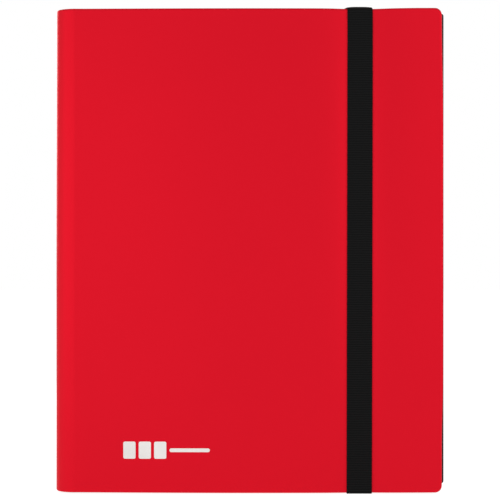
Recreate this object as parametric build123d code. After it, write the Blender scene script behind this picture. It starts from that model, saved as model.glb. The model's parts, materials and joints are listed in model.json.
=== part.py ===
from build123d import *
import math
import os

# A nine-pocket trading card binder, closed and standing upright on its bottom edges. Millimetres.
# The front cover faces -Y, the spine is at -X, the fore-edge at +X and the top edge at +Z.
# The origin is at the centre of the bounding box, at its bottom.

# Case: front cover, rounded spine and back cover
COVER_HEIGHT = 311.0
COVER_WIDTH = 249.0  # from the outside of the spine to the fore-edge
CASE_DEPTH = 27.0  # outside of the front cover to outside of the back cover
SKIN = 0.6
PADDING = 1.0
BOARD = 1.6
LINER = 0.4
FORE_CORNER = 4.4  # corner radius of the covers at the fore-edge
EDGE_ROUND = 1.1  # rounding of the covers' outer edges
TURN_IN = 4.0  # width of skin folded over each inner edge
FOLD_GAP = 0.4  # width of the folding crease between the spine and each cover

# Elastic strap
STRAP_WIDTH = 16.2
STRAP_THICK = 0.8
STRAP_GAP = 0.1  # between the strap and the covers that it goes round
STRAP_FROM_SPINE = 196.2
STRAP_SHOULDER = 1.2  # inner radius where the strap bends over an edge
STRAP_SLOT_INSET = 14.0  # from the cover's top or bottom edge to the strap's slot
STRAP_TAIL = 16.0  # length of each strap end under the back liner
SLOT_SIDE_GAP = 0.4

# Pages
PAGE_COUNT = 20
PAGE_PITCH = 0.96
PAGE_HEIGHT = 303.0
PAGE_BOTTOM_MARGIN = 5.3  # from the cover's bottom edge to the page's bottom edge
PAGE_OVERHANG = 1.5  # how far the pages stand out past the covers' fore-edge
CORE = 0.16
FILM = 0.12
FILM_INSET = 0.8
PAGE_CORNER = 1.8
CREASE_FROM_FOLD = 4.25  # from the covers' fold line to the pages' crease line
CREASE_WEB = 3.5  # flexible strip between the crease line and the stiff part of a page
POCKET_COLUMNS = 3
POCKET_ROWS = 3
WELD = 2.5  # width of the weld lines between pockets
SLIT_WIDTH = 0.8  # card slit along the spine side of each pocket

# Binding block: the welded margins of all the pages
BINDING_HALF_DEPTH = 9.6
BINDING_BACK_GAP = 0.05
BINDING_FRONT_GAP = 0.5  # from the block to the pages' crease line

# Plain emblem near the bottom of the front cover
MARK_THICK = 0.1
MARK_FROM_SPINE = 72.1
MARK_FROM_BOTTOM = 27.3
MARK_WIDTH = 55.6
MARK_HEIGHT = 11.0
MARK_CARD_WIDTH = 7.9
MARK_CARD_GAP = 2.0
MARK_CARDS = 3
MARK_BAR_HEIGHT = 2.4
MARK_CORNER = 1.1

# Places worked out from the sizes above
spine_x = -(COVER_WIDTH + PAGE_OVERHANG) / 2
fore_x = spine_x + COVER_WIDTH
page_edge_x = fore_x + PAGE_OVERHANG
spine_radius = CASE_DEPTH / 2
fold_x = spine_x + spine_radius
bottom_z = STRAP_THICK + STRAP_GAP
top_z = bottom_z + COVER_HEIGHT
outer_y = -CASE_DEPTH / 2  # outside of the front cover
padding_y = outer_y + SKIN
board_y = padding_y + PADDING
liner_y = board_y + BOARD
inner_y = liner_y + LINER
spine_bore = spine_radius - SKIN - BOARD - LINER
crease_x = fold_x + CREASE_FROM_FOLD
page_bottom_z = bottom_z + PAGE_BOTTOM_MARGIN
page_top_z = page_bottom_z + PAGE_HEIGHT
strap_x = spine_x + STRAP_FROM_SPINE
slot_offset = COVER_HEIGHT / 2 - STRAP_SLOT_INSET
mid_z = bottom_z + COVER_HEIGHT / 2


def slab(x0, x1, y0, y1, z0, z1):
    """A box between two corners."""
    centre = Pos((x0 + x1) / 2, (y0 + y1) / 2, (z0 + z1) / 2)
    return centre * Box(x1 - x0, y1 - y0, z1 - z0)


def rounded_sheet(x0, x1, y0, y1, z0, z1, radius):
    """A flat sheet across Y with its two fore-edge corners rounded."""
    sheet = slab(x0, x1, y0, y1, z0, z1)
    corners = sheet.edges().filter_by(Axis.Y).sort_by(Axis.X)[-2:]
    return fillet(corners, radius)


def cover_layer(inset, y0, y1):
    """One layer of the front cover, set in from its free edges and from its fold line."""
    return rounded_sheet(
        fold_x + FOLD_GAP / 2 + inset,
        fore_x - inset,
        y0,
        y1,
        bottom_z + inset,
        top_z - inset,
        FORE_CORNER - inset,
    )


def soften_outer_edges(panel):
    """Round the outer edges of a cover, apart from the one at its fold line."""
    outer_face = panel.faces().sort_by(Axis.Y)[0]
    rim = outer_face.edges().sort_by(Axis.X)[1:]
    return fillet(rim, EDGE_ROUND)


def cover_skin():
    """The red skin, wrapped over padding and board, with its edges turned in around the liner."""
    skin = soften_outer_edges(cover_layer(0, outer_y, inner_y))
    skin -= cover_layer(SKIN, padding_y, liner_y)
    skin -= cover_layer(TURN_IN, liner_y - SKIN, inner_y + SKIN)
    return skin


def spine_sector(outer, inner, z0, z1):
    """Half of a tube around the fold lines' midpoint, on the spine's side."""
    height = z1 - z0
    tube = Cylinder(outer, height) - Cylinder(inner, height * 2)
    half = slab(-2 * outer, -FOLD_GAP / 2, -2 * outer, 2 * outer, -height, height)
    return Pos(fold_x, 0, (z0 + z1) / 2) * (tube & half)


def spine_skin():
    """The red skin of the rounded spine, turned in at its top and bottom."""
    drum = fillet(Cylinder(spine_radius, COVER_HEIGHT).edges().filter_by(GeomType.CIRCLE), EDGE_ROUND)
    half = slab(-2 * spine_radius, -FOLD_GAP / 2, -spine_radius, spine_radius, -top_z, top_z)
    skin = Pos(fold_x, 0, mid_z) * (drum & half)
    skin -= Pos(fold_x, 0, mid_z) * Cylinder(spine_bore, COVER_HEIGHT * 2)
    skin -= spine_sector(spine_radius - SKIN, spine_bore / 2, bottom_z + SKIN, top_z - SKIN)
    return skin


def strap_slots():
    """The two slots in the back cover, and the recesses in its board that hold the strap's ends."""
    half_width = STRAP_WIDTH / 2 + SLOT_SIDE_GAP
    half_slot = STRAP_THICK / 2 + SLOT_SIDE_GAP
    cuts = []
    for side in (-1, 1):
        slot_z = mid_z + side * slot_offset
        tail_z = slot_z - side * (STRAP_TAIL + SLOT_SIDE_GAP)
        low_z, high_z = sorted((slot_z, tail_z))
        x0, x1 = strap_x - half_width, strap_x + half_width
        through = slab(x0, x1, -liner_y, -outer_y + SKIN, slot_z - half_slot, slot_z + half_slot)
        recess = slab(x0, x1, -liner_y, -liner_y + STRAP_THICK + STRAP_GAP, low_z, high_z)
        cuts += [through, recess]
    return cuts


def elastic_strap():
    """One flat elastic band: up the front, over both edges and back in through the two slots."""
    front = outer_y - MARK_THICK
    loop_depth = 2 * -front
    loop_height = COVER_HEIGHT + 2 * STRAP_GAP
    shoulder = STRAP_SHOULDER + STRAP_THICK
    outer_loop = RectangleRounded(loop_depth + 2 * STRAP_THICK, loop_height + 2 * STRAP_THICK, shoulder)
    loop = outer_loop - RectangleRounded(loop_depth, loop_height, STRAP_SHOULDER)
    back_y = -front + STRAP_THICK / 2
    loop -= Pos(back_y, 0) * Rectangle(2 * STRAP_THICK, 2 * slot_offset - STRAP_THICK)
    tail_y = -liner_y + STRAP_THICK / 2
    for side in (-1, 1):
        leg = Rectangle(back_y - tail_y + STRAP_THICK, STRAP_THICK)
        loop += Pos((back_y + tail_y) / 2, side * slot_offset) * leg
        tail = Rectangle(STRAP_THICK, STRAP_TAIL)
        loop += Pos(tail_y, side * (slot_offset - STRAP_TAIL / 2)) * tail
    band = extrude(Plane.YZ * loop, STRAP_WIDTH / 2, both=True)
    return Pos(strap_x, 0, mid_z) * band


def binding_block():
    """The pages' margins, welded into one block that fills the inside of the rounded spine."""
    front_x = CREASE_FROM_FOLD - BINDING_FRONT_GAP
    radius = spine_bore - BINDING_BACK_GAP
    flat = slab(
        -radius * 2, front_x, -BINDING_HALF_DEPTH, BINDING_HALF_DEPTH, -PAGE_HEIGHT / 2, PAGE_HEIGHT / 2
    )
    block = Cylinder(radius, PAGE_HEIGHT) & flat
    return Pos(fold_x, 0, (page_bottom_z + page_top_z) / 2) * block


def page_y(index):
    """The middle of a page in the stack, counted from the front."""
    return (index - (PAGE_COUNT - 1) / 2) * PAGE_PITCH


def page_core(y):
    """The opaque middle sheet of a page."""
    x0 = crease_x + CREASE_WEB
    return rounded_sheet(x0, page_edge_x, y - CORE / 2, y + CORE / 2, page_bottom_z, page_top_z, PAGE_CORNER)


def pocket_slits(y0, y1):
    """The slits that the cards go in by, one along the spine side of each pocket."""
    x0 = crease_x + CREASE_WEB + FILM_INSET
    column = (page_edge_x - FILM_INSET - x0 - WELD) / POCKET_COLUMNS
    row = (PAGE_HEIGHT - 2 * FILM_INSET - WELD) / POCKET_ROWS
    slits = []
    for i in range(POCKET_COLUMNS):
        slit_x = x0 + WELD + i * column
        for j in range(POCKET_ROWS):
            low_z = page_bottom_z + FILM_INSET + WELD + j * row
            slits.append(slab(slit_x, slit_x + SLIT_WIDTH, y0, y1, low_z, low_z + row - WELD))
    return slits


def page_pockets(y):
    """The clear pocket films on both faces of a page, slit for the cards."""
    films = []
    for side in (-1, 1):
        y0, y1 = sorted((y + side * CORE / 2, y + side * (CORE / 2 + FILM)))
        film = rounded_sheet(
            crease_x + CREASE_WEB + FILM_INSET,
            page_edge_x - FILM_INSET,
            y0,
            y1,
            page_bottom_z + FILM_INSET,
            page_top_z - FILM_INSET,
            PAGE_CORNER - FILM_INSET,
        )
        films.append(film - pocket_slits(y0 - FILM, y1 + FILM))
    return Compound(children=films)


def cover_mark():
    """A plain printed emblem: three card shapes in a row and a bar."""
    card_step = MARK_CARD_WIDTH + MARK_CARD_GAP
    bar_length = MARK_WIDTH - MARK_CARDS * card_step
    shapes = []
    for i in range(MARK_CARDS):
        card_x = -MARK_WIDTH / 2 + MARK_CARD_WIDTH / 2 + i * card_step
        shapes.append(Pos(card_x, 0) * RectangleRounded(MARK_CARD_WIDTH, MARK_HEIGHT, MARK_CORNER))
    bar = RectangleRounded(bar_length, MARK_BAR_HEIGHT, MARK_CORNER)
    shapes.append(Pos((MARK_WIDTH - bar_length) / 2, 0) * bar)
    place = Pos(spine_x + MARK_FROM_SPINE, outer_y, bottom_z + MARK_FROM_BOTTOM)
    return Compound(children=[place * extrude(Plane.XZ * shape, MARK_THICK) for shape in shapes])


def to_back(front_piece):
    """The same piece on the back cover."""
    return mirror(front_piece, about=Plane.XZ)


def make_parts():
    """Every sub-part by name."""
    skin = cover_skin()
    padding = cover_layer(SKIN, padding_y, board_y)
    board = cover_layer(SKIN, board_y, liner_y)
    liner = cover_layer(TURN_IN, liner_y, inner_y)
    slots = strap_slots()
    low_z, high_z = bottom_z + SKIN, top_z - SKIN
    pieces = {
        "front_cover_skin": skin,
        "front_padding": padding,
        "front_board": board,
        "front_liner": liner,
        "cover_mark": cover_mark(),
        "spine_skin": spine_skin(),
        "spine_stiffener": spine_sector(spine_radius - SKIN, spine_bore + LINER, low_z, high_z),
        "spine_liner": spine_sector(spine_bore + LINER, spine_bore, low_z, high_z),
        "binding_block": binding_block(),
        "back_cover_skin": to_back(skin) - slots,
        "back_padding": to_back(padding) - slots,
        "back_board": to_back(board) - slots,
        "back_liner": to_back(liner),
        "elastic_strap": elastic_strap(),
    }
    for index in range(PAGE_COUNT):
        number = f"{index + 1:02d}"
        pieces[f"page_core_{number}"] = page_core(page_y(index))
        pieces[f"page_pockets_{number}"] = page_pockets(page_y(index))
    return pieces


os.makedirs("parts", exist_ok=True)
for name, piece in make_parts().items():
    export_step(piece, f"parts/{name}.step")
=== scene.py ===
"""A nine-pocket trading card binder: what its CAD frame looks like in real materials."""
import json
import math

import bmesh
import bpy
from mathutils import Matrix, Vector


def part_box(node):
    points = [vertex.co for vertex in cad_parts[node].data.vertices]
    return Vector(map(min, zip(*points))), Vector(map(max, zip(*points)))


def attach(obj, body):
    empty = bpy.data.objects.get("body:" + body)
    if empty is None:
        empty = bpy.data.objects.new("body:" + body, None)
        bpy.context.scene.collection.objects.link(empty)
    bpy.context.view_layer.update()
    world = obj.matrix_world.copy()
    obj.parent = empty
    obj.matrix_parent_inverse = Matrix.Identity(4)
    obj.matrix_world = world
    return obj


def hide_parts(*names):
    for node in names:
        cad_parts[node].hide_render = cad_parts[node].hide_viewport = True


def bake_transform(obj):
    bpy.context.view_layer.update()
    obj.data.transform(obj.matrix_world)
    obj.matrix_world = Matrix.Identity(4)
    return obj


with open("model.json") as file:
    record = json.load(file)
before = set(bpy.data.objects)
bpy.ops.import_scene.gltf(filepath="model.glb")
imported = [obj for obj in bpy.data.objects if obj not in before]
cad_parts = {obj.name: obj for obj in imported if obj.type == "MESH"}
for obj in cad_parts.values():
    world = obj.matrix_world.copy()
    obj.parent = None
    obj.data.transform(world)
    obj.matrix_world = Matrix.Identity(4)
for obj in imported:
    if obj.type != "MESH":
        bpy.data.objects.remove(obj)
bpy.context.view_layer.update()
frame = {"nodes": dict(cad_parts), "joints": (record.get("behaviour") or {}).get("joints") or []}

MM = 0.001
JOINTS = {joint["name"]: joint for joint in frame["joints"]}
SKIN_LOW, SKIN_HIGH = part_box("front_cover_skin")
LINER_LOW, LINER_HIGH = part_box("front_liner")
STRAP_LOW, STRAP_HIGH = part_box("elastic_strap")
MARK_LOW, MARK_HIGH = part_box("cover_mark")
BLOCK_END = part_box("binding_block")[1][0]  # where the pages leave the binding block
PAGE_NAMES = [n[-2:] for n in sorted(frame["nodes"]) if n.startswith("page_core_")]

# The case, from the frame
FOLD_X = JOINTS["front_cover_fold"]["pos_m"][0]
RADIUS = -JOINTS["front_cover_fold"]["pos_m"][1]
BOTTOM = SKIN_LOW[2]
TOP = SKIN_HIGH[2]
HEIGHT = TOP - BOTTOM
MID_Z = (BOTTOM + TOP) / 2
FORE_X = SKIN_HIGH[0]
COVER_THICK = SKIN_HIGH[1] + RADIUS
SPINE_WALL = 2.6 * MM  # thickness of the case over the spine
SPINE_ARC = RADIUS * math.pi / 2  # from the middle of the spine to a fold, along its curve
LENGTH = SPINE_ARC + FORE_X - FOLD_X  # from the middle of the spine to the fore-edge
TURN_IN = SKIN_HIGH[0] - LINER_HIGH[0]  # width of the skin that shows inside a cover's edge

# Shape of the soft cover
FORE_CORNER = 4.4 * MM  # radius of the cover's two free corners
CORNER_STEPS = 8
EDGE_ROUND = 1.1 * MM  # rounding of its outer edge
INNER_ROUND = 0.5 * MM  # and of its inner edge
LIP = 0.3 * MM  # height of the turn-in's raw edge
LIP_WIDTH = 0.05 * MM
CUSHION = 2.0 * MM  # how far the padded cover stands up on the strap's spine side
VALLEY = 9.5 * MM  # width of the slope down to the strap there
SPINE_RAMP = 0.55  # share of the way from fold to strap over which it rises
OUTER_CUSHION = 2.8 * MM  # how far it stands up on the strap's fore-edge side
OUTER_VALLEY = 11 * MM  # and the width of the slope there
FORE_FALL = 0.35  # share of that height lost on the way to the fore-edge
END_HEIGHT = 0.7  # share of the height left at the cover's top and bottom
RAMP = 60 * MM  # distance from an edge over which a cover swells
BACK_CUSHION = 0.5 * MM  # how full the back cover is
FORE_BOW = 0.9 * MM  # how far the fore-edge bows out
BOW_START = 0.5  # level from which the bow fades: 0 is mid-height, 1 an end
BOW_FADE_UP = 0.48  # share of the half height over which it fades, above the middle
BOW_FADE_DOWN = 0.3  # and below it
SPINE_DROP = 0.4 * MM  # how much the spine draws in at its top
TOP_BOW = 0.2 * MM  # how far the top edge bows up
BOTTOM_BOW = 0.3 * MM  # and the bottom edge down
STRAP_PINCH = 0.25 * MM  # how far the strap presses the cover's top edge in
PINCH_REACH = 9 * MM  # how far along the edge that is felt
OUTER_LIFT = 0.4 * MM  # the cover's outer corner stands a little high beyond the strap
OUTER_REACH = 35 * MM  # distance from the strap over which it rises
FOLD_BEFORE = 2 * MM  # the skin bends from this far before a fold to this far after it
FOLD_AFTER = 3 * MM

# Grid of the skin
FOLD_STEP = 0.5 * MM  # spacing of its upright lines round a fold
FINE_STEP = 1.2 * MM  # over the spine and in the valley along the strap
EDGE_STEP = 2 * MM  # towards the fore-edge
COVER_STEP = 4 * MM  # on the rest of a cover, and between levels
VALLEY_BEFORE = 40 * MM  # how far the valley's lines reach on the strap's spine side
VALLEY_AFTER = 30 * MM  # and on its fore-edge side

# Strap
STRAP_X = (STRAP_LOW[0] + STRAP_HIGH[0]) / 2
STRAP_HALF = (STRAP_HIGH[0] - STRAP_LOW[0]) / 2
STRAP_THICK = 0.8 * MM
STRAP_BEND = 1.5 * MM  # how far before and after a corner it bends
SLOT_INSET = 14 * MM  # from a cover's end to the slot that the strap goes through
SLOT_ROOM = 0.4 * MM  # room round the strap in its slot
STRAP_TAIL = 15 * MM  # length of each end inside the back cover
TAIL_DEPTH = 0.4 * MM  # from the cover's inner face to that end
RIB_PITCH = 1.5 * MM  # spacing of the ribs, along the band
RIB_STEPS = 4  # sections of the band to each rib
RIB_DEPTH = 0.1 * MM
YARN_PITCH = 0.5 * MM  # spacing of the yarns, across the band
STRAP_LEAN = 0.6 * MM  # how far the strap leans away from the spine, from its foot to its top
STRAP_SKEW = 5 * MM  # how far it slews towards the spine as it crosses the top
SKEW_ROOM = 2 * MM  # it starts this far above the slot and is over this far below the top
STRAP_DOME = 0.35 * MM  # how far its middle stands up there
STRAP_CUP = 0.5 * MM  # and how far its edges curl down from that
CREST = 3 * MM  # height over which dome and curl come in


# ---------------------------------------------------------------- helpers

def smooth(t):
    """0 to 1 with level ends."""
    t = min(1.0, max(0.0, t))
    return t * t * (3 - 2 * t)


def spread(low, high, step):
    """Evenly spaced values from low to high, about a step apart."""
    count = max(1, round((high - low) / step))
    return [low + (high - low) * i / count for i in range(count + 1)]


def join_values(*runs):
    """Sorted values of several runs, without repeats."""
    values = []
    for value in sorted(v for run in runs for v in run):
        if not values or value - values[-1] > 0.05 * MM:
            values.append(value)
    return values


def mesh_object(name, vertices, faces, material, merge=0.0):
    """A smooth-shaded mesh object with one material."""
    mesh = bpy.data.meshes.new(name)
    mesh.from_pydata(vertices, [], faces)
    mesh.update()
    obj = bpy.data.objects.new(name, mesh)
    bpy.context.collection.objects.link(obj)
    mesh.materials.append(material)
    if merge:
        weld_points(mesh, merge)
    mesh.shade_smooth()
    return obj


def weld_points(mesh, distance):
    """Join points that lie together, and drop faces with no area."""
    work = bmesh.new()
    work.from_mesh(mesh)
    bmesh.ops.remove_doubles(work, verts=work.verts, dist=distance)
    empty = [f for f in work.faces if f.calc_area() < 1e-12]
    bmesh.ops.delete(work, geom=empty, context="FACES")
    work.to_mesh(mesh)
    work.free()


def grid_faces(rows, columns, closed=False, start=0):
    """Quads over a grid of points stored row by row."""
    faces = []
    last = columns if closed else columns - 1
    for i in range(rows - 1):
        for j in range(last):
            a = start + i * columns + j
            b = start + i * columns + (j + 1) % columns
            faces.append((a, b, b + columns, a + columns))
    return faces


def turned(faces):
    """The same faces, looking the other way."""
    return [tuple(reversed(f)) for f in faces]


def tube_faces(rows, columns):
    """Faces of a closed tube of stacked outlines, with both ends capped."""
    faces = turned(grid_faces(rows, columns, closed=True))
    faces.append(tuple(range(columns)))
    faces.append(tuple(reversed(range((rows - 1) * columns, rows * columns))))
    return faces


# ---------------------------------------------------------------- materials

def new_material(name, color, roughness, specular=0.5):
    """A Principled material and its shader."""
    material = bpy.data.materials.new(name)
    material.use_nodes = True
    shader = material.node_tree.nodes["Principled BSDF"]
    shader.inputs["Base Color"].default_value = (*color, 1)
    shader.inputs["Roughness"].default_value = roughness
    shader.inputs["Specular IOR Level"].default_value = specular
    return material, shader


def add_node(material, kind, **values):
    """A new node; each value is for a socket or a property of that name."""
    node = material.node_tree.nodes.new(kind)
    for key, value in values.items():
        if key in node.inputs:
            node.inputs[key].default_value = value
        else:
            setattr(node, key, value)
    return node


def connect(material, source, output, target, socket):
    """Link an output of one node to a socket of another."""
    material.node_tree.links.new(source.outputs[output], target.inputs[socket])


def add_bump(material, shader, source, output, strength, distance, previous=None):
    """Bump from a texture, on top of a previous bump if there is one."""
    bump = add_node(material, "ShaderNodeBump", Strength=strength, Distance=distance)
    connect(material, source, output, bump, "Height")
    if previous:
        connect(material, previous, "Normal", bump, "Normal")
    connect(material, bump, "Normal", shader, "Normal")
    return bump


def vary_color(material, shader, source, output, color, amount):
    """Base colour, lighter and darker by a share that follows a texture."""
    share = add_node(material, "ShaderNodeMapRange")
    share.inputs["To Min"].default_value = 1 - amount
    share.inputs["To Max"].default_value = 1 + amount
    connect(material, source, output, share, "Value")
    scaled = add_node(material, "ShaderNodeVectorMath", operation="SCALE")
    scaled.inputs[0].default_value = color
    connect(material, share, "Result", scaled, "Scale")
    connect(material, scaled, "Vector", shader, "Base Color")


def mottle(material, shader, color, amount, scale):
    """Very slight uneven tint over a large area."""
    place = add_node(material, "ShaderNodeTexCoord")
    noise = add_noise(material, place, scale, 3.0)
    vary_color(material, shader, noise, "Fac", color, amount)
    return place


def add_wave(material, place, output, period, axis, **values):
    """A wave texture whose bands repeat after this distance."""
    scale = 2 * math.pi / (20 * period)
    wave = add_node(material, "ShaderNodeTexWave", Scale=scale, bands_direction=axis, **values)
    connect(material, place, output, wave, "Vector")
    return wave


def add_noise(material, place, scale, detail):
    """A noise texture in object coordinates."""
    noise = add_node(material, "ShaderNodeTexNoise", Scale=scale, Detail=detail)
    connect(material, place, "Object", noise, "Vector")
    return noise


def cross_weave(material, shader, place, period, strength, depth):
    """Bump of two crossing sets of bands."""
    last = None
    for axis in ("X", "Z"):
        bands = add_wave(material, place, "Object", period, axis)
        last = add_bump(material, shader, bands, "Fac", strength, depth, last)


def cover_material():
    """Matte polypropylene with a fine sanded grain."""
    color = (0.68, 0.0083, 0.0207)
    material, shader = new_material("cover_red", color, 0.36, 0.05)
    shader.inputs["Metallic"].default_value = 0.19
    shader.inputs["Specular Tint"].default_value = (1.0, 0.05, 0.07, 1)
    place = mottle(material, shader, color, 0.015, 18.0)
    grain = add_noise(material, place, 2600.0, 2.0)
    fine = add_bump(material, shader, grain, "Fac", 0.12, 0.04 * MM)
    broad = add_noise(material, place, 420.0, 2.0)
    add_bump(material, shader, broad, "Fac", 0.05, 0.1 * MM, fine)
    return material


def strap_material():
    """Black knitted elastic: ribs across the band and fine yarns along it."""
    color = (0.0072, 0.0072, 0.0073)
    material, shader = new_material("strap_black", color, 0.8, 0.04)
    place = add_node(material, "ShaderNodeTexCoord")
    ribs = add_wave(material, place, "UV", RIB_PITCH, "Y", Distortion=1.2)
    vary_color(material, shader, ribs, "Fac", color, 0.4)
    yarns = add_wave(material, place, "UV", YARN_PITCH, "X", Distortion=0.6)
    rib_bump = add_bump(material, shader, ribs, "Fac", 0.3, 0.1 * MM)
    add_bump(material, shader, yarns, "Fac", 0.4, 0.05 * MM, rib_bump)
    return material


def page_material():
    """Black page sheet with a fine even grain."""
    color = (0.012, 0.012, 0.013)
    material, shader = new_material("page_black", color, 0.5, 0.35)
    place = mottle(material, shader, color, 0.06, 30.0)
    grain = add_noise(material, place, 1500.0, 2.0)
    add_bump(material, shader, grain, "Fac", 0.1, 0.02 * MM)
    return material


def liner_material():
    """Black lining cloth with a fine plain weave."""
    color = (0.012, 0.012, 0.013)
    material, shader = new_material("liner_black", color, 0.8, 0.25)
    place = mottle(material, shader, color, 0.1, 60.0)
    cross_weave(material, shader, place, 0.6 * MM, 0.25, 0.06 * MM)
    return material


def film_material():
    """Clear pocket film, slightly wavy."""
    material, shader = new_material("pocket_film", (0.04, 0.041, 0.045), 0.24, 0.4)
    shader.inputs["Alpha"].default_value = 0.3
    place = add_node(material, "ShaderNodeTexCoord")
    wave = add_noise(material, place, 14.0, 1.0)
    add_bump(material, shader, wave, "Fac", 0.15, 0.8 * MM)
    return material


def weld_material():
    """Where film and page are welded: satin, with a fine knurl."""
    color = (0.034, 0.035, 0.037)
    material, shader = new_material("pocket_weld", color, 0.42, 0.4)
    place = mottle(material, shader, color, 0.1, 60.0)
    cross_weave(material, shader, place, 1.2 * MM, 0.35, 0.12 * MM)
    return material


def block_material():
    """Welded page margins: fine layers one page apart."""
    color = (0.012, 0.012, 0.013)
    material, shader = new_material("margin_black", color, 0.6, 0.35)
    place = mottle(material, shader, color, 0.15, 80.0)
    pitch = JOINTS["page_turn_02"]["pos_m"][1] - JOINTS["page_turn_01"]["pos_m"][1]
    layers = add_wave(material, place, "Object", pitch, "Y")
    add_bump(material, shader, layers, "Fac", 0.8, 0.3 * MM)
    return material


def plain_material(name, color, roughness, scale):
    """Foam, board and other inner layers."""
    material, shader = new_material(name, color, roughness, 0.2)
    place = mottle(material, shader, color, 0.12, scale)
    grain = add_noise(material, place, scale * 40, 3.0)
    add_bump(material, shader, grain, "Fac", 0.3, 0.08 * MM)
    return material


RED = cover_material()
STRAP = strap_material()
PAGE = page_material()
LINER = liner_material()
FILM = film_material()
WELD_BAND = weld_material()
MARGIN = block_material()
FOAM = plain_material("foam_grey", (0.30, 0.30, 0.30), 0.9, 60.0)
BOARD = plain_material("board_grey", (0.16, 0.15, 0.135), 0.85, 40.0)
MARK = plain_material("mark_white", (0.80, 0.80, 0.77), 0.5, 50.0)


# ---------------------------------------------------------------- the case's skin

def strap_gap(x):
    """Distance of a place from the nearer edge of the strap."""
    return max(0.0, abs(x - STRAP_X) - STRAP_HALF)


def front_relief(x, z):
    """How far the padded front cover stands out of its flat plane."""
    if x < STRAP_X:
        rise = CUSHION * (1 - math.exp(-strap_gap(x) / VALLEY))
        fall = smooth((x - FOLD_X) / (SPINE_RAMP * (STRAP_X - FOLD_X)))
    else:
        rise = OUTER_CUSHION * (1 - math.exp(-strap_gap(x) / OUTER_VALLEY))
        fall = 1 - FORE_FALL * (x - STRAP_X) / (FORE_X - STRAP_X)
    ends = smooth(min(z - BOTTOM, TOP - z) / RAMP)
    return rise * fall * (END_HEIGHT + (1 - END_HEIGHT) * ends)


def back_relief(x, z):
    """The back cover is only slightly full."""
    across = smooth((x - FOLD_X) / RAMP) * smooth((FORE_X - x) / RAMP)
    along = smooth((z - BOTTOM) / RAMP) * smooth((TOP - z) / RAMP)
    return BACK_CUSHION * across * along


def outline_shift(x, z):
    """The cover's outline is not quite straight: (x, z) shift of a point near its edges."""
    level = (z - MID_Z) / (HEIGHT / 2)
    near_top, near_bottom = max(0.0, level) ** 3, max(0.0, -level) ** 3
    fade = (abs(level) - BOW_START) / (BOW_FADE_UP if level > 0 else BOW_FADE_DOWN)
    bow = FORE_BOW * (1 - smooth(fade)) * smooth((x - STRAP_X) / (FORE_X - STRAP_X))
    across = (x - FOLD_X) / (FORE_X - FOLD_X)
    hump = max(0.0, 4 * across * (1 - across))
    lift = hump * (TOP_BOW * near_top - BOTTOM_BOW * near_bottom)
    lift += OUTER_LIFT * smooth((x - STRAP_X - STRAP_HALF) / OUTER_REACH) * near_top
    lift -= STRAP_PINCH * math.exp(-((strap_gap(x) / PINCH_REACH) ** 2)) * near_top
    return bow, lift


def skin_point(along, z, depth, side, relief):
    """A point of the case's surface. along runs from the middle of the spine to the fore-edge."""
    cover_share = smooth((along - SPINE_ARC + FOLD_BEFORE) / (FOLD_BEFORE + FOLD_AFTER))
    wall = SPINE_WALL + (COVER_THICK - SPINE_WALL) * cover_share
    inward = depth * wall / COVER_THICK
    if along < SPINE_ARC:
        angle = along / RADIUS
        drop = SPINE_DROP * smooth((z - MID_Z) / (HEIGHT / 2)) * math.cos(angle)
        reach = RADIUS - inward
        return (FOLD_X - reach * math.cos(angle) + drop, side * reach * math.sin(angle), z)
    x = FOLD_X + along - SPINE_ARC
    out = relief(x, z) * max(0.0, 1 - depth / COVER_THICK)
    bow, lift = outline_shift(x, z)
    return (x + bow, side * (RADIUS + out - inward), z + lift)


def quarter_turn(step):
    """Angles in radians from 0 to 90 degrees."""
    return [math.radians(angle) for angle in range(0, 91, step)]


def edge_rings():
    """(inset, depth) pairs from the cover's outer face, round its edge, to the end of the turn-in."""
    rings = [(FORE_CORNER * share, 0.0) for share in (1.0, 0.8, 0.6, 0.4)]
    for turn in quarter_turn(15):
        rings.append((EDGE_ROUND * (1 - math.sin(turn)), EDGE_ROUND * (1 - math.cos(turn))))
    rings.append((0.0, COVER_THICK / 2))
    for turn in quarter_turn(30):
        inset = INNER_ROUND * (1 - math.cos(turn))
        rings.append((inset, COVER_THICK - INNER_ROUND * (1 - math.sin(turn))))
    rings.append((TURN_IN * 0.6, COVER_THICK))
    rings.append((TURN_IN - LIP_WIDTH, COVER_THICK))
    rings.append((TURN_IN, COVER_THICK - LIP))
    return rings


def ring_side(runs, edge, inset, depth, side, relief):
    """Ring points along the bottom or top edge. Nothing is turned in at the spine."""
    inwards = 1 if edge < MID_Z else -1
    points = []
    for along in runs:
        cover_share = smooth((along - SPINE_ARC) / (FOLD_AFTER * 1.5))
        limit = INNER_ROUND + (TURN_IN - INNER_ROUND) * cover_share
        kept = min(inset, limit) if depth > COVER_THICK / 2 else inset
        points.append(skin_point(along, edge + inwards * kept, depth, side, relief))
    return points


def ring_corner(corner_z, first, inset, depth, side, relief):
    """Ring points round a corner of the fore-edge, between its two ends."""
    reach = FORE_CORNER - inset
    points = []
    for i in range(1, CORNER_STEPS):
        angle = math.radians(first + 90 * i / CORNER_STEPS)
        along = LENGTH - FORE_CORNER + reach * math.cos(angle)
        points.append(skin_point(along, corner_z + reach * math.sin(angle), depth, side, relief))
    return points


def ring_points(inset, depth, runs, levels, side, relief):
    """One ring round the bottom, fore-edge and top of a cover."""
    ring = (inset, depth, side, relief)
    points = ring_side(runs, BOTTOM, *ring)
    points += ring_corner(BOTTOM + FORE_CORNER, -90, *ring)
    points += [skin_point(LENGTH - inset, z, depth, side, relief) for z in levels]
    points += ring_corner(TOP - FORE_CORNER, 0, *ring)
    points += ring_side(reversed(runs), TOP, *ring)
    return points


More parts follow.
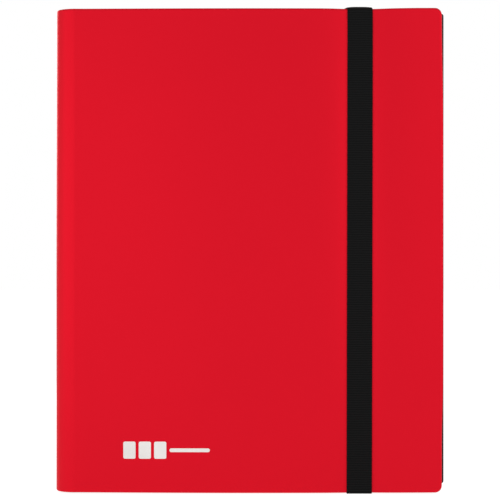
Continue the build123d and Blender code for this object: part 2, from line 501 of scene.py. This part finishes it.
def skin_runs(slots):
    """Where the skin's upright grid lines are, closer together at the fold and in the valley."""
    strap_run = SPINE_ARC + STRAP_X - FOLD_X
    fold_start, fold_end = SPINE_ARC - 3 * MM, SPINE_ARC + 5 * MM
    valley_start, valley_end = strap_run - VALLEY_BEFORE, strap_run + VALLEY_AFTER
    return join_values(
        spread(0, fold_start, FINE_STEP),
        spread(fold_start, fold_end, FOLD_STEP),
        spread(fold_end, valley_start, COVER_STEP),
        spread(valley_start, valley_end, FINE_STEP),
        spread(valley_end, LENGTH - FORE_CORNER, EDGE_STEP),
        [SPINE_ARC + x - FOLD_X for slot in slots for x in slot[0]],
    )


def in_a_slot(vertices, face, slots):
    """Whether the middle of a face is inside one of the slots."""
    x = sum(vertices[i][0] for i in face) / len(face)
    z = sum(vertices[i][2] for i in face) / len(face)
    return any(xs[0] < x < xs[1] and zs[0] < z < zs[1] for xs, zs in slots)


def case_half(name, side, relief, slots=()):
    """Half of the red skin: from the middle of the spine, round one cover, to its turned-in edges."""
    runs = skin_runs(slots)
    slot_levels = [z for slot in slots for z in slot[1]]
    even_levels = spread(BOTTOM + FORE_CORNER, TOP - FORE_CORNER, COVER_STEP)
    levels = join_values(even_levels, slot_levels)
    vertices = [skin_point(along, z, 0.0, side, relief) for z in levels for along in runs]
    faces = [f for f in grid_faces(len(levels), len(runs)) if not in_a_slot(vertices, f, slots)]
    rings = [ring_points(inset, depth, runs, levels, side, relief) for inset, depth in edge_rings()]
    faces += turned(grid_faces(len(rings), len(rings[0]), start=len(vertices)))
    vertices += [point for ring in rings for point in ring]
    if side > 0:
        faces = turned(faces)
    return mesh_object(name, vertices, faces, RED, merge=0.01 * MM)


def strap_slots():
    """The two slots in the back cover: x range and z range."""
    half_x = STRAP_HALF + SLOT_ROOM
    half_z = STRAP_THICK / 2 + SLOT_ROOM
    centres = (BOTTOM + SLOT_INSET, TOP - SLOT_INSET)
    return [((STRAP_X - half_x, STRAP_X + half_x), (z - half_z, z + half_z)) for z in centres]


def make_case():
    """Both halves of the red skin, each curved round half the spine and on over one cover."""
    front = case_half("skin_front", -1, front_relief)
    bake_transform(front)
    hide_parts("front_cover_skin", "spine_skin")
    back = case_half("skin_back", 1, back_relief, strap_slots())
    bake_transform(back)
    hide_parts("back_cover_skin")


# ---------------------------------------------------------------- thin strips

STRIP_LEVEL = 25 * MM  # height between a strip's levels
LINING_THICK = 0.15 * MM
LINING_STEP = 0.5 * MM
LINING_START = 1.5 * MM  # how far before the fold a fold lining starts
LINING_LAP = 0.8 * MM  # how far it laps over the cover's lining
LINING_DEPTH = 0.1 * MM  # how far it runs inside the skin's inner face
HINGE_THICK = 0.12 * MM
HINGE_STEP = 0.15 * MM
HINGE_ROOT = 0.4 * MM  # how far a page's strip reaches into the binding block
HINGE_LAP = 0.6 * MM  # how far it laps over the page's stiff part


def offset_path(path, distance):
    """A path in plan, moved sideways to its left."""
    points = []
    for i, (x, y) in enumerate(path):
        before, after = path[max(0, i - 1)], path[min(len(path) - 1, i + 1)]
        dx, dy = after[0] - before[0], after[1] - before[1]
        long = math.hypot(dx, dy)
        points.append((x - dy / long * distance, y + dx / long * distance))
    return points


def strip(name, path, low_z, high_z, thickness, material):
    """A thin upright sheet along a path in plan, closed on all sides."""
    outline = offset_path(path, thickness / 2) + offset_path(path[::-1], thickness / 2)
    levels = spread(low_z, high_z, STRIP_LEVEL)
    vertices = [(x, y, z) for z in levels for x, y in outline]
    return mesh_object(name, vertices, tube_faces(len(levels), len(outline)), material)


def make_fold_linings():
    """The lining that runs on over each fold, from the spine's lining to the cover's."""
    first, last = FOLD_X - LINING_START, LINER_LOW[0] + LINING_LAP
    spine_y = RADIUS - SPINE_WALL - LINING_DEPTH
    cover_y = RADIUS - COVER_THICK - LINING_DEPTH
    low_z, high_z = BOTTOM + TURN_IN, TOP - TURN_IN
    for name, side in (("front", -1), ("back", 1)):
        path = []
        for x in spread(first, last, LINING_STEP):
            share = smooth((x - first) / (last - first))
            path.append((x, side * (spine_y + (cover_y - spine_y) * share)))
        lining = strip(f"fold_lining_{name}", path, low_z, high_z, LINING_THICK, LINER)
        if side > 0:
            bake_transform(lining)
        else:
            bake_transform(lining)


def make_page_hinges():
    """The flexible strip of each page, from the binding block to its stiff part."""
    for number in PAGE_NAMES:
        low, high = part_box(f"page_core_{number}")
        y = (low[1] + high[1]) / 2
        path = [(x, y) for x in spread(BLOCK_END - HINGE_ROOT, low[0] + HINGE_LAP, HINGE_STEP)]
        hinge = strip(f"page_hinge_{number}", path, low[2], high[2], HINGE_THICK, PAGE)
        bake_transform(hinge)


# ---------------------------------------------------------------- pocket films

COLUMNS = 3
ROWS = 3
WELD = 2.5 * MM  # width of a welded band
SLIT = 0.8 * MM  # width of the slit beside it, on each pocket's spine side
FILM_REST = 0.09 * MM  # from the page's middle to the film where it is welded down
PUFF = 0.35 * MM  # how much further out a pocket's film stands
WELD_RIDGE = 0.06 * MM  # how far a weld between pockets stands up
HEM = 0.46 * MM  # half the thickness of the bead round a page's free edges
POCKET_RAMP = 0.1  # share of a pocket's width over which its film rises
PUFF_SHAPE = 0.6  # below 1 the film rises steeply at the welds and lies flat between them
POCKET_STEPS = (0.0, 0.02, 0.05, 0.1, 0.3, 0.5, 0.7, 0.9, 0.95, 0.98)
MOUTH = 0.5  # how far a pocket stands open at its slit, from 0 to 1
CREASE_TAPER = 0.06  # how fast a page thickens away from its crease, so that open pages stay clear
FILM_SURFACE, WELD_SURFACE, HEM_SURFACE = 0, 1, 2  # material numbers of a film


def pocket_axis(low, high, count, slit):
    """Sample places along a side of a page: (place, swell 0 to 1 or a weld's name, inside a slit)."""
    cell = (high - low - WELD) / count
    samples = []
    for i in range(count):
        first = low + WELD + i * cell
        last = first + cell - WELD
        weld = "hem" if i == 0 and not slit else "ridge"
        samples += [(first - WELD, 0.0, False), (first - WELD / 2, weld, False)]
        samples.append((first, 0.0, slit))
        inner = first + (SLIT if slit else 0.0)
        for t in POCKET_STEPS[0 if slit else 1:]:
            swell = smooth(min(t, 1 - t) / POCKET_RAMP) ** PUFF_SHAPE
            if slit and t < POCKET_RAMP:
                swell = max(swell, MOUTH)
            samples.append((inner + (last - inner) * t, swell, False))
    samples += [(high - WELD, 0.0, False), (high - WELD / 2, "hem", False), (high, 0.0, False)]
    return samples


def film_height(across, along):
    """How far a film stands from the page's middle, from its swell or weld along each side."""
    if "hem" in (across, along):
        return HEM
    if "ridge" in (across, along):
        return FILM_REST + WELD_RIDGE
    return FILM_REST + PUFF * across * along


def surface_number(*marks):
    """Which of a film's materials a face has, from the swells and welds at its corners."""
    if "hem" in marks:
        return HEM_SURFACE
    return WELD_SURFACE if "ridge" in marks else FILM_SURFACE


def film_sheet(low, high, y, side):
    """Vertices, faces and material numbers of one clear film, slit at each pocket's mouth."""
    across = pocket_axis(low[0], high[0], COLUMNS, True)
    along = pocket_axis(low[2], high[2], ROWS, False)
    vertices = []
    for z, swell_z, _ in along:
        for x, swell_x, _ in across:
            limit = FILM_REST + CREASE_TAPER * (x - low[0])
            vertices.append((x, y + side * min(limit, film_height(swell_x, swell_z)), z))
    faces, surfaces = [], []
    columns = len(across)
    for i in range(len(along) - 1):
        row_surface = surface_number(along[i][1], along[i + 1][1])
        for j in range(columns - 1):
            if across[j][2] and row_surface == FILM_SURFACE:
                continue
            a = i * columns + j
            faces.append((a, a + 1, a + 1 + columns, a + columns))
            surfaces.append(max(row_surface, surface_number(across[j][1], across[j + 1][1])))
    if side > 0:
        faces = turned(faces)
    return vertices, faces, surfaces


def make_pockets():
    """Both clear films of each page, as one piece."""
    for number in PAGE_NAMES:
        low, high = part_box(f"page_pockets_{number}")
        y = (low[1] + high[1]) / 2
        vertices, faces, surfaces = [], [], []
        for side in (-1, 1):
            sheet_vertices, sheet_faces, sheet_surfaces = film_sheet(low, high, y, side)
            faces += [tuple(i + len(vertices) for i in f) for f in sheet_faces]
            vertices += sheet_vertices
            surfaces += sheet_surfaces
        film = mesh_object(f"pocket_film_{number}", vertices, faces, FILM)
        film.data.materials.append(WELD_BAND)
        film.data.materials.append(PAGE)
        for polygon, surface in zip(film.data.polygons, surfaces):
            polygon.material_index = surface
        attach(film, f"page_{number}")
        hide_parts(f"page_pockets_{number}")


# ---------------------------------------------------------------- elastic strap

def between(start, end, share):
    """The point this share of the way from start to end."""
    return tuple(a + (b - a) * share for a, b in zip(start, end))


def line_between(start, end, step):
    """Points after start up to end, about a step apart."""
    count = max(1, round(math.dist(start, end) / step))
    return [between(start, end, i / count) for i in range(1, count + 1)]


def bend_points(start, corner, end, steps=6, pull=0.8):
    """Points after start up to end, round the inside of a corner."""
    points = []
    for i in range(1, steps + 1):
        t = i / steps
        weights = ((1 - t) ** 2, 2 * t * (1 - t) * pull, t * t)
        places = zip(start, corner, end)
        points.append(tuple(
            sum(w * p for w, p in zip(weights, place)) / sum(weights) for place in places
        ))
    return points


def rounded_path(corners, radius, step):
    """A path in (y, z) through corners, with round bends, sampled about a step apart."""
    points = [corners[0]]
    for before, corner, after in zip(corners, corners[1:], corners[2:]):
        long_in, long_out = math.dist(before, corner), math.dist(corner, after)
        cut = min(radius, long_in * 0.49, long_out * 0.49)
        start = between(corner, before, cut / long_in)
        end = between(corner, after, cut / long_out)
        points += line_between(points[-1], start, step)
        points += bend_points(start, corner, end)
    return points + line_between(points[-1], corners[-1], step)


def strap_path():
    """The middle of the band in (y, z): from one end under the back liner, over the front, to the other."""
    half = STRAP_THICK / 2
    front_y = STRAP_LOW[1] + half
    back_y = STRAP_HIGH[1] - half
    tail_y = RADIUS - COVER_THICK + TAIL_DEPTH + half
    top_z, bottom_z = STRAP_HIGH[2] - half, STRAP_LOW[2] + half
    high_slot, low_slot = TOP - SLOT_INSET, BOTTOM + SLOT_INSET
    corners = [
        (tail_y, high_slot - STRAP_TAIL), (tail_y, high_slot), (back_y, high_slot), (back_y, top_z),
        (front_y, top_z), (front_y, bottom_z), (back_y, bottom_z), (back_y, low_slot),
        (tail_y, low_slot), (tail_y, low_slot + STRAP_TAIL),
    ]
    return rounded_path(corners, STRAP_BEND, RIB_PITCH / RIB_STEPS)


def strap_profile():
    """Half of the band's section: (across 0 to 1, share of its half thickness, share of the ribs)."""
    return [
        (0.0, 1.0, 1.0), (0.2, 1.0, 1.0), (0.4, 1.0, 1.0), (0.6, 1.0, 1.0), (0.76, 1.0, 1.0),
        (0.80, 0.95, 0.5), (0.83, 0.80, 0.0), (0.86, 0.98, 0.15), (0.91, 1.06, 0.2), (0.955, 1.0, 0.2),
        (0.985, 0.7, 0.0), (1.0, 0.25, 0.0),
    ]


def strap_section(ribs):
    """The closed outline of the band's section at one place: (across -1 to 1, out)."""
    half = [(a, h * STRAP_THICK / 2 + RIB_DEPTH * r * ribs) for a, h, r in strap_profile()]
    top = [(-a, h) for a, h in reversed(half)] + half[1:]
    bottom = [(a, -h) for a, h in reversed(top)]
    return top + bottom


def strap_sway(y, z):
    """Sideways shift of the band: it leans a little, and slews as it crosses the covers' tops."""
    lean = STRAP_LEAN * (z - MID_Z) / HEIGHT
    back = min(1.0, max(0.0, (y - STRAP_LOW[1]) / (STRAP_HIGH[1] - STRAP_LOW[1])))
    near_top = smooth((z - TOP + SLOT_INSET - SKEW_ROOM) / (SLOT_INSET - 2 * SKEW_ROOM))
    return lean - STRAP_SKEW * math.sin(math.pi / 2 * back) * near_top


def distances_along(path):
    """How far along the path each of its points is."""
    distances = [0.0]
    for before, point in zip(path, path[1:]):
        distances.append(distances[-1] + math.dist(before, point))
    return distances


def strap_outline(path, i, distance):
    """The band's section in place, at one point of its path."""
    y, z = path[i]
    before, after = path[max(0, i - 1)], path[min(len(path) - 1, i + 1)]
    dy, dz = after[0] - before[0], after[1] - before[1]
    long = math.hypot(dy, dz)
    ribs = 0.5 * math.cos(2 * math.pi * distance / RIB_PITCH) - 0.5
    centre = STRAP_X + strap_sway(y, z)
    at_top = smooth((z - TOP + CREST) / CREST)
    points = []
    for across, out in strap_section(ribs):
        rise = at_top * (STRAP_DOME - STRAP_CUP * abs(across) ** 4)
        points.append((centre + across * STRAP_HALF, y + dz / long * out, z - dy / long * out + rise))
    return points


def give_strap_uv(mesh, distances, count):
    """UV in metres: across the band and along it. count is the number of points in a section."""
    layer = mesh.uv_layers.new(name="UVMap")
    for loop in mesh.loops:
        index = loop.vertex_index
        across = mesh.vertices[index].co[0] - STRAP_X
        layer.data[loop.index].uv = (across, distances[index // count])


def make_strap():
    """The elastic band round both covers, as one stretched sheet."""
    path = strap_path()
    distances = distances_along(path)
    outlines = [strap_outline(path, i, distance) for i, distance in enumerate(distances)]
    vertices = [point for outline in outlines for point in outline]
    count = len(outlines[0])
    strap = mesh_object("strap_band", vertices, tube_faces(len(path), count), STRAP)
    give_strap_uv(strap.data, distances, count)
    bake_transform(strap)
    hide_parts("elastic_strap")


# ---------------------------------------------------------------- the printed mark

CARD_WIDTH = 7.9 * MM
CARD_GAP = 2.0 * MM
CARD_CORNER = 1.1 * MM
BAR_HALF = 1.2 * MM  # half the height of the bar
PRINT_HEIGHT = 0.05 * MM  # how far the print stands off the skin
ROW_SHARES = (-1, -0.5, 0, 0.5, 1)  # rows of points, as shares of a shape's half height


def mark_shape(low_x, high_x, middle_z, half_height):
    """Points of a rounded bar or card on the cover's surface, in columns from low to high x."""
    corner = min(CARD_CORNER, half_height)
    arc = [corner * (1 - math.cos(turn)) for turn in quarter_turn(15)]
    ends = [low_x + d for d in arc] + [high_x - d for d in arc]
    points = []
    for x in join_values(ends, spread(low_x, high_x, 2 * MM)):
        from_end = min(x - low_x, high_x - x)
        drop = corner - math.sqrt(max(0.0, corner ** 2 - max(0.0, corner - from_end) ** 2))
        for share in ROW_SHARES:
            z = middle_z + share * (half_height - drop)
            points.append((x, -RADIUS - front_relief(x, z) - PRINT_HEIGHT, z))
    return points


def make_mark():
    """Three card shapes and a bar, printed on the front cover."""
    middle = (MARK_LOW[2] + MARK_HIGH[2]) / 2
    half = (MARK_HIGH[2] - MARK_LOW[2]) / 2
    starts = [MARK_LOW[0] + i * (CARD_WIDTH + CARD_GAP) for i in range(4)]
    shapes = [(start, start + CARD_WIDTH, half) for start in starts[:3]]
    shapes.append((starts[3], MARK_HIGH[0], BAR_HALF))
    vertices, faces = [], []
    for first, last, half_height in shapes:
        points = mark_shape(first, last, middle, half_height)
        columns = len(points) // len(ROW_SHARES)
        faces += turned(grid_faces(columns, len(ROW_SHARES), start=len(vertices)))
        vertices += points
    mark = mesh_object("printed_mark", vertices, faces, MARK)
    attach(mark, "front_cover")
    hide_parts("cover_mark")


# ---------------------------------------------------------------- carried-over CAD nodes

def dress_cad_nodes():
    """Real materials on the CAD nodes whose shape is already right."""
    dress = {
        "front_liner": LINER, "back_liner": LINER, "spine_liner": LINER,
        "front_padding": FOAM, "back_padding": FOAM,
        "front_board": BOARD, "back_board": BOARD, "spine_stiffener": BOARD,
        "binding_block": MARGIN,
    }
    for number in PAGE_NAMES:
        dress[f"page_core_{number}"] = PAGE
    for node, material in dress.items():
        obj = frame["nodes"][node]
        obj.data.materials.clear()
        obj.data.materials.append(material)


# ---------------------------------------------------------------- stage, light and camera

AMBIENT = 0.45  # what the white surroundings add to the light
FLOOR_HALF = 6.0
FLOOR_ALBEDO = 0.5
FLOOR_LIGHT = 0.6  # what the floor gives to the object
FLOOR_GLOW = 0.86  # keeps the floor white in the shadows, as on a light table
LIGHT_DISTANCE = 0.9
CAMERA_DISTANCE = 1.2
VIEW_WIDTH = 0.3213  # width of the view at the front cover
AIM_X = 0.45 * MM
AIM_Z = MID_Z + 0.35 * MM
SENSOR = 36


def make_floor():
    """A white floor that looks brighter than the light it gives."""
    size = FLOOR_HALF
    corners = [(-size, -size, 0), (size, -size, 0), (size, size, 0), (-size, size, 0)]
    material, shader = new_material("floor_white", (FLOOR_ALBEDO,) * 3, 1.0, 0.0)
    shader.inputs["Emission Color"].default_value = (1, 1, 1, 1)
    path = add_node(material, "ShaderNodeLightPath")
    glow = add_node(material, "ShaderNodeMapRange")
    glow.inputs["To Min"].default_value = FLOOR_LIGHT
    glow.inputs["To Max"].default_value = FLOOR_GLOW
    connect(material, path, "Is Camera Ray", glow, "Value")
    connect(material, glow, "Result", shader, "Emission Strength")
    mesh_object("floor", corners, [(0, 1, 2, 3)], material)


def make_surroundings():
    """White to look at, and a softer light on the object."""
    world = bpy.data.worlds.new("studio")
    world.use_nodes = True
    nodes, links = world.node_tree.nodes, world.node_tree.links
    seen = nodes["Background"]
    seen.inputs["Color"].default_value = (1, 1, 1, 1)
    lit = nodes.new("ShaderNodeBackground")
    lit.inputs["Strength"].default_value = AMBIENT
    lit.inputs["Color"].default_value = (1, 1, 1, 1)
    path = nodes.new("ShaderNodeLightPath")
    mix = nodes.new("ShaderNodeMixShader")
    links.new(path.outputs["Is Camera Ray"], mix.inputs["Fac"])
    links.new(lit.outputs["Background"], mix.inputs[1])
    links.new(seen.outputs["Background"], mix.inputs[2])
    links.new(mix.outputs["Shader"], nodes["World Output"].inputs["Surface"])
    bpy.context.scene.world = world


def soft_light(name, angle, height, size, power):
    """A soft box facing the object, this many degrees round it from straight in front."""
    light = bpy.data.lights.new(name, "AREA")
    light.shape = "RECTANGLE"
    light.size, light.size_y = size
    light.energy = power
    obj = bpy.data.objects.new(name, light)
    bpy.context.collection.objects.link(obj)
    turn = math.radians(angle)
    obj.location = (LIGHT_DISTANCE * math.sin(turn), -LIGHT_DISTANCE * math.cos(turn), height)
    direction = Vector((0, 0, MID_Z)) - obj.location
    obj.rotation_euler = direction.to_track_quat("-Z", "Y").to_euler()


def make_lights():
    """Two wide boxes in front, with a dark gap between them, and small ones at the side and behind."""
    soft_light("front_left", -46, 0.26, (1.2, 0.5), 2.75)
    soft_light("front_right", 50, 0.35, (1.1, 0.5), 2.65)
    soft_light("side_left", -92, 0.25, (0.5, 0.5), 0.42)
    soft_light("back_left", -150, 0.4, (0.5, 0.5), 1.8)
    soft_light("back_right", 130, 0.4, (0.5, 0.5), 1.4)


def make_camera():
    """A long lens straight in front of the cover."""
    camera = bpy.data.cameras.new("camera")
    camera.sensor_width = SENSOR
    camera.lens = SENSOR * CAMERA_DISTANCE / VIEW_WIDTH
    camera.clip_start = 0.05
    camera.clip_end = 50
    obj = bpy.data.objects.new("camera", camera)
    bpy.context.collection.objects.link(obj)
    obj.location = (AIM_X, -RADIUS - CAMERA_DISTANCE, AIM_Z)
    obj.rotation_euler = (math.pi / 2, 0, 0)
    bpy.context.scene.camera = obj


make_camera()
make_floor()
make_surroundings()
make_lights()
dress_cad_nodes()
make_case()
make_fold_linings()
make_page_hinges()
make_pockets()
make_strap()
make_mark()
bpy.context.scene.view_settings.view_transform = "Standard"
